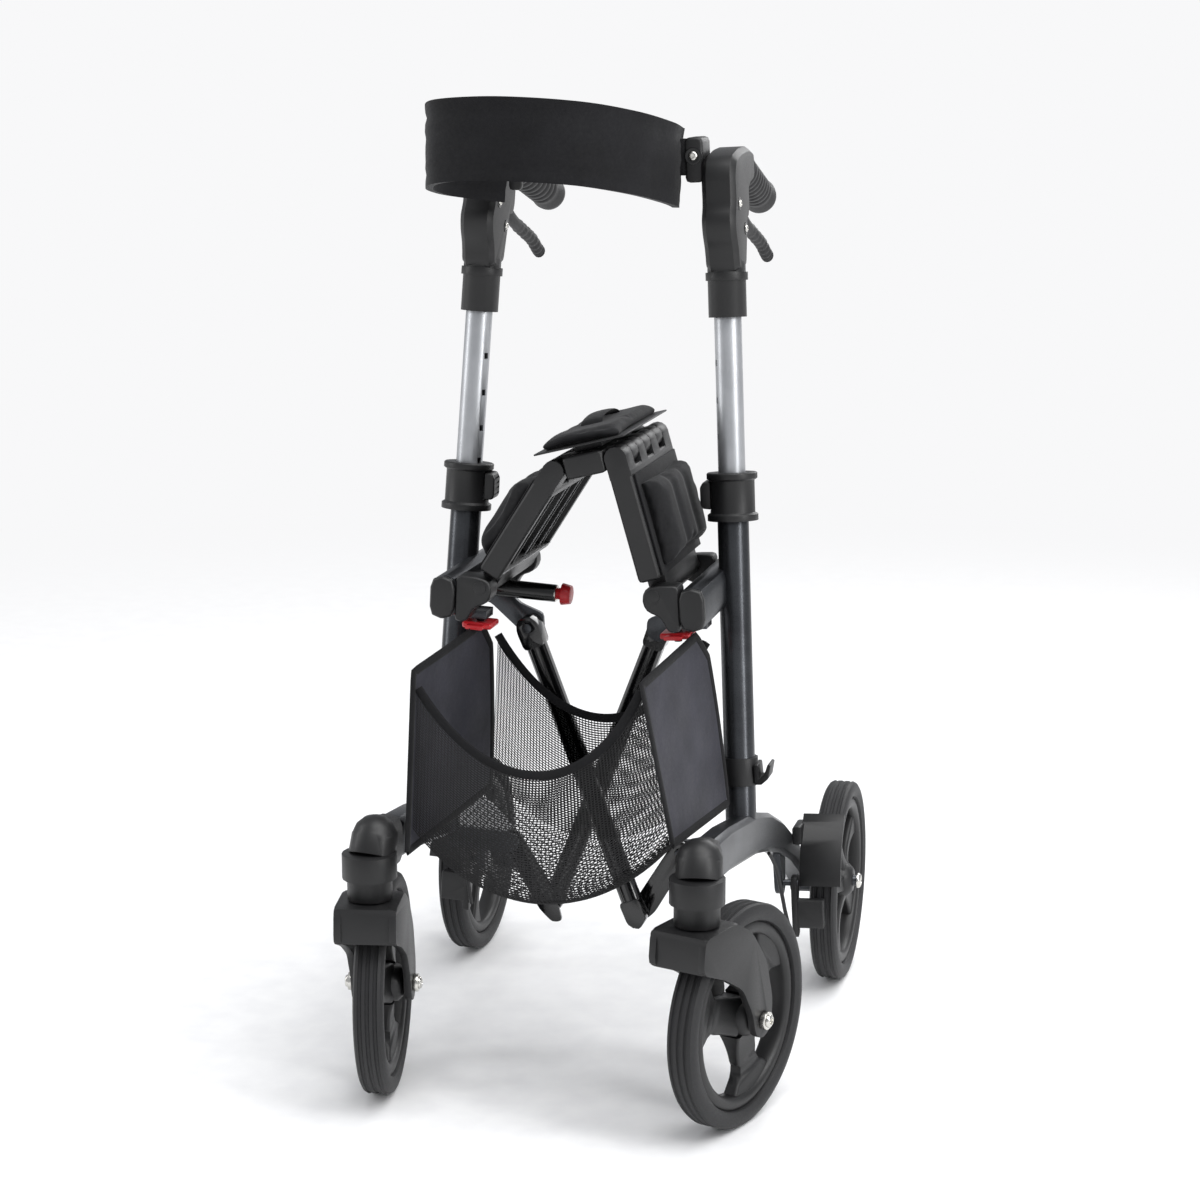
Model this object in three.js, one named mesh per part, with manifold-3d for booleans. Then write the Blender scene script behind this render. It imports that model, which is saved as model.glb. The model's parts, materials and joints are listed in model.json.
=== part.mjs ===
// Folding four-wheel walking frame (rollator), modelled half folded.
// Millimetres, +Z up, the user walks towards -Y, the user's left hand is on +X.
// Each side frame leans inwards, so its pieces are drawn in a leaning frame (u outwards, y, z)
// and mirrored for the other side. Wheels and casters stand upright.
import * as THREE from 'three';
import { mergeVertices } from 'three/addons/utils/BufferGeometryUtils.js';
import Module from 'manifold-3d';

const wasm = await Module();
wasm.setup();

// ---- driving dimensions -------------------------------------------------------------------
const DEG = Math.PI / 180;
const GAP = 0.3;                 // clearance between pieces that touch on the real object
const ORIGIN = [-0.26, -82.3, 0];   // puts the middle of the whole box over the origin
const LEAN = 3.11 * DEG;         // inward lean of each side frame
const HALF_TRACK = 169.6;        // side frame plane to the centre, at the ground
const RAKE = 0.0836;             // rearward lean of the uprights, per mm of height
const LOWER_R = 15.75;           // lower upright tube
const UPPER_R = 13.6;            // telescoping upper tube
const TUBE_TOP = 596;            // top of the lower tube
const SLEEVE_Z = [761, 801];     // handle sleeve on the upper tube
const RAIL = { u: -17.8, z: 494, w: 24, h: 42, y0: -74, y1: 106 };
const HINGE = { u: -55, z: 507.5, front: -80, rear: 106, pin: 4 };
const SEAT = { length: 138.2, centre: 64, thick: 22, y0: -78, y1: 104 };
const REST = { right: 16.2 * DEG, left: 32.2 * DEG, roll: 14.2 * DEG };
const BRACE = { u: -80, z: 450, length: 320, tilt: 20.8 * DEG, r: 11 };
const LINK = { u: -69, z: 217, y: 36, length: 77, swing: 30.9 * DEG };
const WHEEL = { r: 110, tyre: 30, rim: 92, axle: 6 };
const CLIP = { u: -43.5, y: -32, z: 461 };
const CASTER = { x: 160.6, y: -209.8, trail: 76, halfWidth: 30, yawRight: -18.5 * DEG, yawLeft: 10.2 * DEG };
const REAR = { u: 40.5, y: 309 };
const GRIP = { from: [-2, 150, 905], to: [-7, 291, 866], r: 17 };
const LEVER = { y: 118, z: 868 };
const HEAD_WIDTH = 34;
const BAND = { slope: 0.197, bottom: 883, height: 78, thick: 7 };

// ---- materials ----------------------------------------------------------------------------
const finish = (color, roughness, metalness) => ({ color, roughness, metalness });
const M = {
  frame: finish(0x4b4d51, 0.35, 0.8),
  silver: finish(0xb9bcc0, 0.3, 0.9),
  steel: finish(0xc9cacc, 0.25, 1),
  black: finish(0x1d1d1f, 0.5, 0),
  rubber: finish(0x232325, 0.85, 0),
  tyre: finish(0x2a2a2c, 0.9, 0),
  fabric: finish(0x25252a, 0.95, 0),
  grey: finish(0x8c8d90, 0.5, 0),
  red: finish(0xc0202a, 0.45, 0),
};

// ---- solid helpers ------------------------------------------------------------------------
function toSolid(geometry) {
  let g = geometry.clone();
  for (const name of Object.keys(g.attributes)) if (name !== 'position') g.deleteAttribute(name);
  g = mergeVertices(g, 1e-4);
  const mesh = new wasm.Mesh({
    numProp: 3,
    vertProperties: new Float32Array(g.attributes.position.array),
    triVerts: new Uint32Array(g.index.array),
  });
  return new wasm.Manifold(mesh);
}

function fromSolid(solid) {
  const mesh = solid.getMesh();
  const g = new THREE.BufferGeometry();
  g.setAttribute('position', new THREE.BufferAttribute(new Float32Array(mesh.vertProperties), 3));
  g.setIndex(new THREE.BufferAttribute(new Uint32Array(mesh.triVerts), 1));
  return g;
}

const join = (...list) => fromSolid(wasm.Manifold.union(list.map(toSolid)));
const cut = (body, ...tools) => fromSolid(toSolid(body).subtract(wasm.Manifold.union(tools.map(toSolid))));

// Closed outline with every corner rounded by r.
function outline(points, r = 0) {
  const shape = new THREE.Shape();
  const n = points.length;
  const v = (i) => new THREE.Vector2(...points[(i + n) % n]);
  for (let i = 0; i < n; i++) {
    const p = v(i);
    const toPrev = v(i - 1).sub(p);
    const toNext = v(i + 1).sub(p);
    const k = Math.min(r, toPrev.length() * 0.45, toNext.length() * 0.45);
    const a = p.clone().add(toPrev.setLength(k));
    const b = p.clone().add(toNext.setLength(k));
    if (i === 0) shape.moveTo(a.x, a.y);
    else shape.lineTo(a.x, a.y);
    if (k > 0.01) shape.quadraticCurveTo(p.x, p.y, b.x, b.y);
  }
  shape.closePath();
  return shape;
}

// Plate of the given outline, with its thickness centred along one axis.
function plate(shape, thick, axis, at = 0, bevel = 0, segments = 2) {
  const g = new THREE.ExtrudeGeometry(shape, {
    depth: thick - 2 * bevel, bevelEnabled: bevel > 0, bevelThickness: bevel, bevelSize: bevel,
    bevelOffset: -bevel, bevelSegments: 1, curveSegments: segments, steps: 1,
  });
  g.translate(0, 0, -(thick - 2 * bevel) / 2);
  const m = new THREE.Matrix4();
  if (axis === 'x') m.set(0, 0, 1, at, 1, 0, 0, 0, 0, 1, 0, 0, 0, 0, 0, 1);
  if (axis === 'y') m.set(1, 0, 0, 0, 0, 0, -1, at, 0, 1, 0, 0, 0, 0, 0, 1);
  if (axis === 'z') m.set(1, 0, 0, 0, 0, 1, 0, 0, 0, 0, 1, at, 0, 0, 0, 1);
  return g.applyMatrix4(m);
}

const box = (x0, x1, y0, y1, z0, z1, r = 0, bevel = 0) =>
  plate(outline([[x0, z0], [x1, z0], [x1, z1], [x0, z1]], r), y1 - y0, 'y', (y0 + y1) / 2, bevel);

// Round bar between two points.
function rod(a, b, r, segments = 14, r2 = r) {
  const from = new THREE.Vector3(...a);
  const dir = new THREE.Vector3(...b).sub(from);
  const g = new THREE.CylinderGeometry(r2, r, dir.length(), segments);
  g.translate(0, dir.length() / 2, 0);
  g.applyQuaternion(new THREE.Quaternion().setFromUnitVectors(new THREE.Vector3(0, 1, 0), dir.normalize()));
  return g.translate(from.x, from.y, from.z);
}

// Turned piece: profile of [radius, height] pairs, closed on itself or on the axis, about +Z.
function turned(profile, segments = 18) {
  const g = new THREE.LatheGeometry(profile.map(([r, z]) => new THREE.Vector2(r, z)), segments);
  return g.rotateX(Math.PI / 2);
}

const disc = (y, z, r, thick, at) => rod([at - thick / 2, y, z], [at + thick / 2, y, z], r);

// Thin shell: surface(s, t) for s, t in 0..1, thickened along its own normal.
function shell(surface, ns, nt, thick) {
  const at = (i, j) => surface(i / ns, j / nt);
  const positions = [];
  const index = [];
  const id = (i, j, k) => (k * (ns + 1) + i) * (nt + 1) + j;
  for (let k = 0; k < 2; k++) {
    for (let i = 0; i <= ns; i++) {
      for (let j = 0; j <= nt; j++) {
        const ds = at(Math.min(i + 1, ns), j).sub(at(Math.max(i - 1, 0), j));
        const dt = at(i, Math.min(j + 1, nt)).sub(at(i, Math.max(j - 1, 0)));
        const n = ds.cross(dt).setLength((k - 0.5) * thick);
        positions.push(...at(i, j).add(n).toArray());
      }
    }
  }
  const quad = (a, b, c, d) => index.push(a, b, c, a, c, d);
  for (let i = 0; i < ns; i++) {
    for (let j = 0; j < nt; j++) {
      quad(id(i, j, 1), id(i + 1, j, 1), id(i + 1, j + 1, 1), id(i, j + 1, 1));
      quad(id(i, j, 0), id(i, j + 1, 0), id(i + 1, j + 1, 0), id(i + 1, j, 0));
    }
  }
  for (let i = 0; i < ns; i++) {
    quad(id(i, 0, 0), id(i + 1, 0, 0), id(i + 1, 0, 1), id(i, 0, 1));
    quad(id(i, nt, 1), id(i + 1, nt, 1), id(i + 1, nt, 0), id(i, nt, 0));
  }
  for (let j = 0; j < nt; j++) {
    quad(id(0, j, 1), id(0, j + 1, 1), id(0, j + 1, 0), id(0, j, 0));
    quad(id(ns, j, 0), id(ns, j + 1, 0), id(ns, j + 1, 1), id(ns, j, 1));
  }
  const g = new THREE.BufferGeometry();
  g.setAttribute('position', new THREE.Float32BufferAttribute(positions, 3));
  g.setIndex(index);
  return g;
}

function mirrored(geometry) {
  const g = geometry.index ? geometry : mergeVertices(geometry, 1e-4);
  g.scale(-1, 1, 1);
  const index = g.index.array;
  for (let i = 0; i < index.length; i += 3) [index[i], index[i + 1]] = [index[i + 1], index[i]];
  return g;
}

function mesh(parent, name, geometry, material, side = 1) {
  let g = side < 0 ? mirrored(geometry.clone()) : geometry;
  if (g.index) g = g.toNonIndexed();
  for (const key of Object.keys(g.attributes)) if (key !== 'position') g.deleteAttribute(key);
  g.computeVertexNormals();
  const piece = new THREE.Mesh(g, new THREE.MeshStandardMaterial(material));
  piece.name = name;
  parent.add(piece);
  return piece;
}

// A point in upright axes, measured from the side frame's foot, in the leaning frame.
function upright(x, y, z) {
  return [x * Math.cos(LEAN) + z * Math.sin(LEAN), y, z * Math.cos(LEAN) - x * Math.sin(LEAN)];
}

const raked = (z) => RAKE * z;
const onUpright = (z, u = 0) => [u, raked(z), z];

// ---- side frame ---------------------------------------------------------------------------
// Arched lower beam: centre line and half depth from the caster elbow to the rear axle.
const BEAM = [
  [-160, 268, 21], [-95, 261, 21], [-30, 250, 21], [40, 238, 21], [100, 222, 20], [165, 198, 17],
  [225, 168, 14], [270, 140, 13], [309, 110, 13],
];

function beamOutline() {
  const top = BEAM.map(([y, z, h], i) => {
    const [ya, za] = BEAM[Math.max(i - 1, 0)];
    const [yb, zb] = BEAM[Math.min(i + 1, BEAM.length - 1)];
    const l = Math.hypot(yb - ya, zb - za);
    return { y, z, ny: -(zb - za) / l * h, nz: (yb - ya) / l * h };
  });
  const points = top.map((p) => [p.y + p.ny, p.z + p.nz]);
  points.push([BEAM.at(-1)[0] + 11, BEAM.at(-1)[1] - 9]);
  for (const p of top.reverse()) points.push([p.y - p.ny, p.z - p.nz]);
  return outline(points);
}

function sideFrame(lugSide) {
  const beam = plate(beamOutline(), 26, 'x', 3, 5);
  const tongue = box(-5, 11, -180, -158, 253, 283);
  const lower = rod(onUpright(225), onUpright(TUBE_TOP), LOWER_R, 20);
  const railShape = outline([[RAIL.u - RAIL.w / 2, RAIL.z - RAIL.h / 2],
    [RAIL.u + RAIL.w / 2, RAIL.z - RAIL.h / 2],
    [RAIL.u + RAIL.w / 2, RAIL.z + RAIL.h / 2], [RAIL.u - RAIL.w / 2, RAIL.z + RAIL.h / 2]], 11);
  const rail = plate(railShape, RAIL.y1 - RAIL.y0, 'y', (RAIL.y0 + RAIL.y1) / 2);
  const clipLug = box(CLIP.u - 9, RAIL.u + 6, CLIP.y - 12, CLIP.y + 12, 468, 476);
  const stud = rod([CLIP.u, CLIP.y, 470], [CLIP.u, CLIP.y, 453.5], 4, 12);
  const braceLug = plate(outline([[-8, 481], [-30, 491], [-46, 487], [-66, 470], [-90, 462],
    [-92, 446], [-82, 438],
    [-68, 441], [-34, 468], [-10, 470]], 4), 5, 'y', LINK.y);
  const armY = LINK.y + lugSide * 14;
  const bracePin = rod([BRACE.u, LINK.y, BRACE.z], [BRACE.u, armY + lugSide * 12.5, BRACE.z], 5, 14);
  const lugY = LINK.y + lugSide * 8;
  const linkShape = outline([[-4, 228], [-4, 206], [-64, 206], [-78, 210], [-79, 222], [-70, 228]], 5);
  const linkLug = plate(linkShape, 8, 'y', lugY);
  const linkPin = rod([LINK.u, lugY, LINK.z], [LINK.u, LINK.y - lugSide * 4.5, LINK.z], 4, 14);
  const axleBoss = disc(REAR.y, 109, 16, 24, 6);
  const axle = rod(upright(2, REAR.y, WHEEL.r), upright(REAR.u + 21, REAR.y, WHEEL.r), WHEEL.axle, 14);
  const brakeLug = plate(outline([[172, 196], [206, 184], [199, 132], [188, 126],
    [177, 134]], 5), 8, 'x', 4);
  const brakePin = rod([4, 188, 140], [24, 188, 140], 3.5, 12);
  const solid = join(beam, tongue, lower, rail, clipLug, stud, braceLug, bracePin, linkLug, linkPin, axleBoss, axle,
    brakeLug, brakePin);
  return cut(solid, rod(onUpright(300), onUpright(TUBE_TOP + 5), UPPER_R + 0.5, 18));
}

function railCap() {
  const { u, z, w, h, y0 } = RAIL;
  const shape = outline([[u - w / 2, z - h / 2], [u + w / 2 + 1, z - h / 2],
    [u + w / 2 + 1, z + h / 2], [u - w / 2, z + h / 2]], 12);
  return plate(shape, 9, 'y', y0 - GAP - 4.5, 2);
}

// Front and rear bearing blocks of the seat hinge, held together by the hinge pin.
function hingeBlock() {
  const { u, z, front, rear, pin } = HINGE;
  const edge = RAIL.u - RAIL.w / 2 - GAP;
  const shape = outline([[edge, z + 10], [u + 3, z + 10], [u - 9, z + 7], [u - 12, z - 5],
    [u - 8, z - 15],
    [u + 6, z - 21], [u + 13, z - 36], [edge, z - 36]], 5);
  const blockFront = plate(shape, 26, 'y', front + 13, 1.5);
  const blockRear = plate(shape, 18, 'y', rear - 9, 1.5);
  const boss = rod([u, front - 1.2, z], [u, front + 6, z], 6.5, 12);
  const shaft = rod([u, front + 10, z], [u, rear - 9, z], pin, 10);
  return join(blockFront, blockRear, boss, shaft);
}

function clampCollar() {
  const bottom = 560;
  const height = 48;
  const profile = [[LOWER_R + 0.4, 0], [25.5, 0], [25.5, 6], [22.5, 8], [22.5, height - 8],
    [25.5, height - 6],
    [25.5, height - 1], [24.5, height], [UPPER_R + 0.4, height], [UPPER_R + 0.4, height - 9],
    [LOWER_R + 0.4, height - 9], [LOWER_R + 0.4, 0]];
  const ring = turned(profile, 20);
  ring.rotateX(-Math.atan(RAKE));
  ring.translate(...onUpright(bottom));
  const slot = box(-40, -19.6, raked(585) - 11, raked(585) + 11, 571, 601);
  return cut(ring, slot);
}

function clampLever() {
  const y = raked(585);
  const shape = outline([[-20, 572], [-29, 573], [-31, 577], [-31, 594], [-28, 599.5], [-20, 600]], 1.5);
  const body = plate(shape, 21, 'y', y, 1);
  const grooves = [578.5, 584, 589.5, 595].map((z) => box(-33, -30, y - 8, y + 8, z - 1, z + 1));
  return cut(body, ...grooves);
}

function tubeClip() {
  const z = 308;
  const profile = [[LOWER_R + GAP, 0], [19, 0], [19, 28], [LOWER_R + GAP, 28], [LOWER_R + GAP, 0]];
  const ring = turned(profile, 16);
  ring.rotateX(-Math.atan(RAKE));
  ring.translate(...onUpright(z - 14));
  const lipShape = outline([[17, z - 12], [24, z - 12], [31, z - 6], [34, z + 8], [31, z + 9],
    [27, z - 2],
    [22, z - 6], [21, z + 8], [17, z + 8]], 1);
  const lip = plate(lipShape, 24, 'y', raked(z));
  const cutter = rod(onUpright(z - 30), onUpright(z + 30), LOWER_R + GAP, 16);
  return cut(join(ring, lip), cutter);
}

// ---- handle assembly ----------------------------------------------------------------------
function upperTube() {
  const outer = rod(onUpright(455), onUpright(788), UPPER_R, 18);
  const inner = rod(onUpright(450), onUpright(783), UPPER_R - 2, 14);
  const holes = [717, 680, 644, 611, 575].map((z) => {
    const hole = box(-30, -8, -2.6, 2.6, z - 3, z + 3);
    hole.rotateZ(25 * DEG);
    return hole.translate(0, raked(z), 0);
  });
  return cut(outer, inner, ...holes);
}

function handleHead() {
  const shape = outline([[48, 806], [45, 828], [37, 842], [35, 860], [43, 872], [43, 902], [54, 918],
    [84, 924],
    [122, 926], [150, 920], [148, 890], [116, 884], [102, 850], [88, 806]], 8);
  const head = plate(shape, HEAD_WIDTH, 'x', 0, 5);
  const sleeve = rod(onUpright(SLEEVE_Z[0]), onUpright(SLEEVE_Z[1] + 14), 19, 18);
  const ring = rod(onUpright(SLEEVE_Z[1] - 4), onUpright(SLEEVE_Z[1] + 4), 21, 18);
  const stub = rod(gripPoint(-0.1), gripPoint(0.89), 9.6, 12);
  const cheekShape = outline([[104, 895], [104, 862], [112, 856], [126, 856], [131, 866], [132, 895]], 4);
  const cheeks = [-10.5, 10.5].map((u) => plate(cheekShape, 5, 'x', u));
  const pin = rod([-10.5, LEVER.y, LEVER.z], [10.5, LEVER.y, LEVER.z], 3.5, 8);
  const solid = join(head, sleeve, ring, stub, ...cheeks, pin);
  return cut(solid, rod(onUpright(740), onUpright(789), UPPER_R + GAP, 18));
}

function gripPoint(t) {
  return GRIP.from.map((v, i) => v + (GRIP.to[i] - v) * t);
}

function grip() {
  const length = new THREE.Vector3(...GRIP.to).distanceTo(new THREE.Vector3(...GRIP.from));
  const profile = [[10 + GAP, 2], [GRIP.r + 1, 2], [GRIP.r + 1, 7], [GRIP.r - 2, 12], [GRIP.r, 30],
    [GRIP.r, length - 30],
    [GRIP.r - 1, length - 18], [GRIP.r + 1.5, length - 8], [GRIP.r - 3, length], [0, length],
    [0, length * 0.91], [10 + GAP, length * 0.91], [10 + GAP, 2]];
  const g = turned(profile, 16);
  const dir = new THREE.Vector3(...GRIP.to).sub(new THREE.Vector3(...GRIP.from)).normalize();
  g.applyQuaternion(new THREE.Quaternion().setFromUnitVectors(new THREE.Vector3(0, 0, 1), dir));
  return g.translate(...GRIP.from);
}

function brakeLever() {
  const shape = outline([[111.5, 864], [114, 874], [122, 877], [140, 868], [175, 852], [215, 840],
    [250, 829], [284, 811],
    [289, 802], [281, 797], [245, 815], [210, 825], [170, 836], [135, 850], [114.5, 859]], 5);
  const bar = plate(shape, 14, 'x', 0, 1.5);
  return cut(bar, disc(LEVER.y, LEVER.z, 3.8, 30, 0));
}

function bracket() {
  return box(-36, -HEAD_WIDTH / 2 - GAP, 60, 98, 894, 938, 5, 2);
}

// ---- front caster -------------------------------------------------------------------------
// Drawn about the steering axis: x across, y towards the back, z up.
function casterElbow(x) {
  const dx = HALF_TRACK - LEAN * 268 + 3 - x;
  const dome = new THREE.SphereGeometry(23, 18, 7);
  dome.rotateX(Math.PI / 2);
  dome.translate(dx / 2, 14, 278);
  const post = rod([0, 6, 262], [dx / 2, 14, 280], 22.5, 16);
  const socket = box(dx - 16, dx + 16, 14, 46, 243, 293, 12);
  const collar = rod([0, 0, 243], [0, 0, 267], 26.5, 20);
  const sleeve = rod([0, 0, 222.5], [0, 0, 245], 22, 18);
  const solid = join(dome, post, socket, collar, sleeve);
  const pocket = box(dx - 9.6, dx + 9.6, 27, 60, 251.4, 284.6);
  return cut(solid, pocket, rod([0, 0, 215], [0, 0, 256], 8 + GAP, 12));
}

function casterFork() {
  const plateShape = outline([[-34, 221], [24, 221], [52, 205], [80, 170], [93, 128], [91, 100],
    [76, 91], [61, 98],
    [56, 120], [36, 152], [2, 172], [-38, 188]], 8);
  const half = CASTER.halfWidth;
  const cheeks = [3.5 - half, half - 3.5].map((x) => plate(plateShape, 7, 'x', x));
  const crown = cut(box(-half, half, -34, 26, 186, 221, 4), disc(CASTER.trail, WHEEL.r, WHEEL.r + 4, 80, 0));
  const stem = rod([0, 0, 210], [0, 0, 255], 8, 12);
  return cut(join(crown, ...cheeks, stem), disc(CASTER.trail, WHEEL.r, WHEEL.axle + GAP, 80, 0));
}

const casterAxle = () => join(
  disc(CASTER.trail, WHEEL.r, WHEEL.axle, 2 * CASTER.halfWidth + 2, 0),
  ...[-1, 1].map((way) => disc(CASTER.trail, WHEEL.r, 9, 5, way * (CASTER.halfWidth + 2.5 + GAP))),
);

// ---- wheels, drawn about their own axle along x --------------------------------------------
function tyre() {
  const h = WHEEL.tyre / 2;
  const profile = [[WHEEL.rim + 0.2, -h + 4], [WHEEL.r - 7, -h], [WHEEL.r, -h + 6], [WHEEL.r, h - 6],
    [WHEEL.r - 7, h],
    [WHEEL.rim + 0.2, h - 4], [WHEEL.rim + 0.2, -h + 4]];
  return turned(profile, 28).rotateY(Math.PI / 2);
}

function rim(spokes, hubWidth) {
  const r = WHEEL.rim - 0.2;
  const ring = turned([[82, -9], [r, -11], [r, 11], [82, 9], [82, -9]], 28).rotateY(Math.PI / 2);
  const hub = rod([-hubWidth / 2, 0, 0], [hubWidth / 2, 0, 0], 18, 16);
  const arms = [];
  for (let k = 0; k < spokes; k++) {
    const wide = spokes === 3 ? 20 : 9;
    const shape = outline([[-wide, 8], [wide, 8], [wide * 0.8, 50], [wide * 1.6, 86], [-wide * 1.6, 86],
      [-wide * 0.8, 50]], 6);
    const arm = plate(shape, 12, 'x', 0);
    arms.push(arm.rotateX(k * 2 * Math.PI / spokes));
  }
  return cut(join(ring, hub, ...arms), disc(0, 0, WHEEL.axle + GAP, 80, 0));
}

// ---- rear brake ---------------------------------------------------------------------------
function brakeCover() {
  const arc = (r, a0, a1) => {
    const list = [];
    for (let k = 0; k <= 8; k++) {
      const a = (a0 + (a1 - a0) * k / 8) * DEG;
      list.push([REAR.y + r * Math.cos(a), WHEEL.r + r * Math.sin(a)]);
    }
    return list;
  };
  const guard = plate(outline([...arc(119.5, 128, 168), ...arc(116, 168, 128)]), 45, 'x', 46.5);
  const tab = box(16 + GAP, 26, 205, 236, 177, 197, 3);
  return join(guard, tab);
}

function brakeArm() {
  const armShape = outline([[180, 148], [196, 148], [197, 132], [192, 120], [191, 84], [180, 80],
    [178, 120],
    [179, 135]], 4);
  const arm = plate(armShape, 6, 'x', 20.5);
  const shoe = plate(outline([[183, 122], [194.5, 122], [193, 92], [182, 90]], 3), 30, 'x', 36, 1);
  const peg = rod([18, 186, 108], [30, 187, 108], 4, 12);
  return cut(join(arm, shoe, peg), disc(188, 140, 3.8, 30, 20));
}

function brakeCable() {
  const points = [[11, 100, 199], [12.5, 125, 178], [13, 150, 140], [13.5, 168, 108], [14.5, 182, 90]];
  const route = new THREE.CatmullRomCurve3(points.map((p) => new THREE.Vector3(...p)));
  const circle = new THREE.Shape().absarc(0, 0, 2.2, 0, 2 * Math.PI);
  return new THREE.ExtrudeGeometry(circle, { extrudePath: route, steps: 8, curveSegments: 3 });
}

// ---- folding seat -------------------------------------------------------------------------
// A seat piece is drawn flat: x runs from its own hinge (0) towards the next one, z is its normal.
const KNUCKLES = 7;
const KNUCKLE_GAP = 0.4;
const BODY_END = 11.6;           // distance from a hinge pin to the flat body beside its knuckles

// Ends of the k-th knuckle along the hinge.
function knuckle(k) {
  const pitch = (SEAT.y1 - SEAT.y0) / KNUCKLES;
  const front = SEAT.y0 + k * pitch + (k > 0 ? KNUCKLE_GAP : 0);
  const back = SEAT.y0 + (k + 1) * pitch - (k < KNUCKLES - 1 ? KNUCKLE_GAP : 0);
  return [front, back];
}

function seatPanel() {
  const { length, thick, y0, y1 } = SEAT;
  const h = thick / 2;
  const solids = [box(15, length - BODY_END, y0, y1, -h, h, 4, 2)];
  for (let k = 0; k < KNUCKLES; k += 2) {
    const [front, back] = knuckle(k);
    solids.push(rod([length, front, 0], [length, back, 0], h, 14));
    solids.push(box(length - 20, length, front, back, -h + 0.2, h - 0.2));
  }
  const [ka, kb] = [HINGE.front + 27, HINGE.rear - 19];
  solids.push(rod([0, ka, 0], [0, kb, 0], h - 1, 14), box(0, 20, ka, kb, -h + 2, h - 2));
  const pockets = [box(24, length - 24, y0 + 10, y1 - 10, -h - 5, 3, 3)];
  let panel = cut(join(...solids), ...pockets);
  const ribs = [-0.25, 0.08, 0.36].map((f) => {
    const y = (y0 + y1) / 2 + f * (y1 - y0);
    return box(22, length - 22, y - 1.3, y + 1.3, -h + 3, 4);
  });
  panel = join(panel, ...ribs);
  return cut(panel, rod([0, ka - 5, 0], [0, kb + 5, 0], HINGE.pin + 0.5, 10),
    rod([length, y0 + 5, 0], [length, y1 - 5, 0], 4.5, 10));
}

const cushion = () => box(17, 118, -70, 98, SEAT.thick / 2 + GAP, SEAT.thick / 2 + 19, 8, 5);

function seatCentre() {
  const { centre, thick, y0, y1 } = SEAT;
  const h = thick / 2;
  const solids = [box(BODY_END, centre - BODY_END, y0, y1, -h, h, 4, 2)];
  for (const x of [0, centre]) {
    for (let k = 1; k < KNUCKLES; k += 2) {
      const [front, back] = knuckle(k);
      const inner = x === 0 ? [0, 18] : [centre - 18, centre];
      solids.push(rod([x, front, 0], [x, back, 0], h, 14));
      solids.push(box(inner[0], inner[1], front, back, -h + 0.2, h - 0.2));
    }
    solids.push(rod([x, y0 + 6, 0], [x, y1 - 6, 0], 4, 10));
  }
  return join(...solids);
}

function centrePad() {
  const { centre, thick } = SEAT;
  const base = thick / 2 + 8;
  const flange = box(centre / 2 - 46, centre / 2 + 46, SEAT.y0 - 2, SEAT.y1 + 2, base, base + 2, 0.8);
  const pad = box(centre / 2 - 43, centre / 2 + 43, SEAT.y0 + 1, SEAT.y1 - 1, base + 1, base + 12, 5, 2);
  const foot = box(centre / 2 - 14, centre / 2 + 14, SEAT.y0 + 30, SEAT.y1 - 30, thick / 2 + GAP, base + 1);
  const x = centre / 2;
  const loopShape = outline([[-16, base + 11], [-10, base + 20], [52, base + 20], [58, base + 11]], 4);
  const loop = plate(loopShape, 22, 'x', x, 1);
  return cut(join(flange, pad, foot, loop), box(x - 12, x + 12, 2, 40, base + 13.5, base + 17));
}

// ---- cross brace --------------------------------------------------------------------------
// An arm is drawn hanging down from its upper pivot.
function braceArm() {
  const { length, r } = BRACE;
  const tube = rod([0, 0, -8], [0, 0, -length + 12], r, 16);
  const eyeTop = plate(outline([[-11, -22], [11, -22], [12, 0], [8, 11], [-8, 11],
    [-12, 0]], 5), 2 * r, 'y');
  const endShape = outline([[-11, -length + 20], [11, -length + 20], [10, -length - 4], [0, -length - 12],
    [-10, -length - 4]], 4);
  const eyeBottom = plate(endShape, 2 * r, 'y');
  return cut(join(tube, eyeTop, eyeBottom), rod([0, -20, 0], [0, 20, 0], 5.4, 12));
}

// A link plate is drawn hanging down from its frame pivot, with a pointed tip past the brace bolt.
function linkPlate() {
  const l = LINK.length;
  const shape = outline([[-11, 4], [-6, 12], [6, 12], [11, 4], [12, -l + 8], [3, -l - 22],
    [-7, -l - 18], [-12, -l]], 4);
  return cut(plate(shape, 5, 'y'), rod([0, -10, 0], [0, 10, 0], 4.4, 10));
}

// ---- soft parts ---------------------------------------------------------------------------
// Backrest band: open loop in plan, from the right bracket round the front to the left bracket.
const BAND_PATH = [[77, 66], [73, 30], [51, -30], [8, -82], [-60, -104], [-118, -88], [-143, -50],
  [-142, -12],
  [-126, 16], [-92, 44]];

function backrestBand() {
  const curve = new THREE.CatmullRomCurve3(BAND_PATH.map(([x, y]) => new THREE.Vector3(x, y, 0)));
  const bottom = (y) => BAND.bottom - (y + 20) * BAND.slope;
  return shell((s, t) => {
    const p = curve.getPoint(s);
    return new THREE.Vector3(p.x, p.y, bottom(p.y) + BAND.height * t);
  }, 26, 1, BAND.thick);
}

// Basket sides hang from the red clips, slack, both skewed the same way.
const SIDE_X = {
  right: (y, z) => 93 + 0.2 * (y + 165) - (0.2 - 0.09 * (y + 165) / 167) * (z - 453),
  left: (y, z) => -128 + 0.2 * (y + 165) + 0.05 * (z - 440),
};
const BASKET = { front: -165, back: 2, top: 441, frontTop: 433, low: { right: 284, left: 257 }, backLow: 280 };
const ease = (a, b, f) => a + (b - a) * f;

function basketSide(side) {
  return shell((s, t) => {
    const y = ease(BASKET.front, BASKET.back, s);
    const top = ease(BASKET.frontTop, BASKET.top, Math.min(1, s * 2.5));
    const z = ease(ease(BASKET.low[side], BASKET.backLow, s), top, t);
    return new THREE.Vector3(SIDE_X[side](y, z), y, z);
  }, 6, 2, 4);
}

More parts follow.
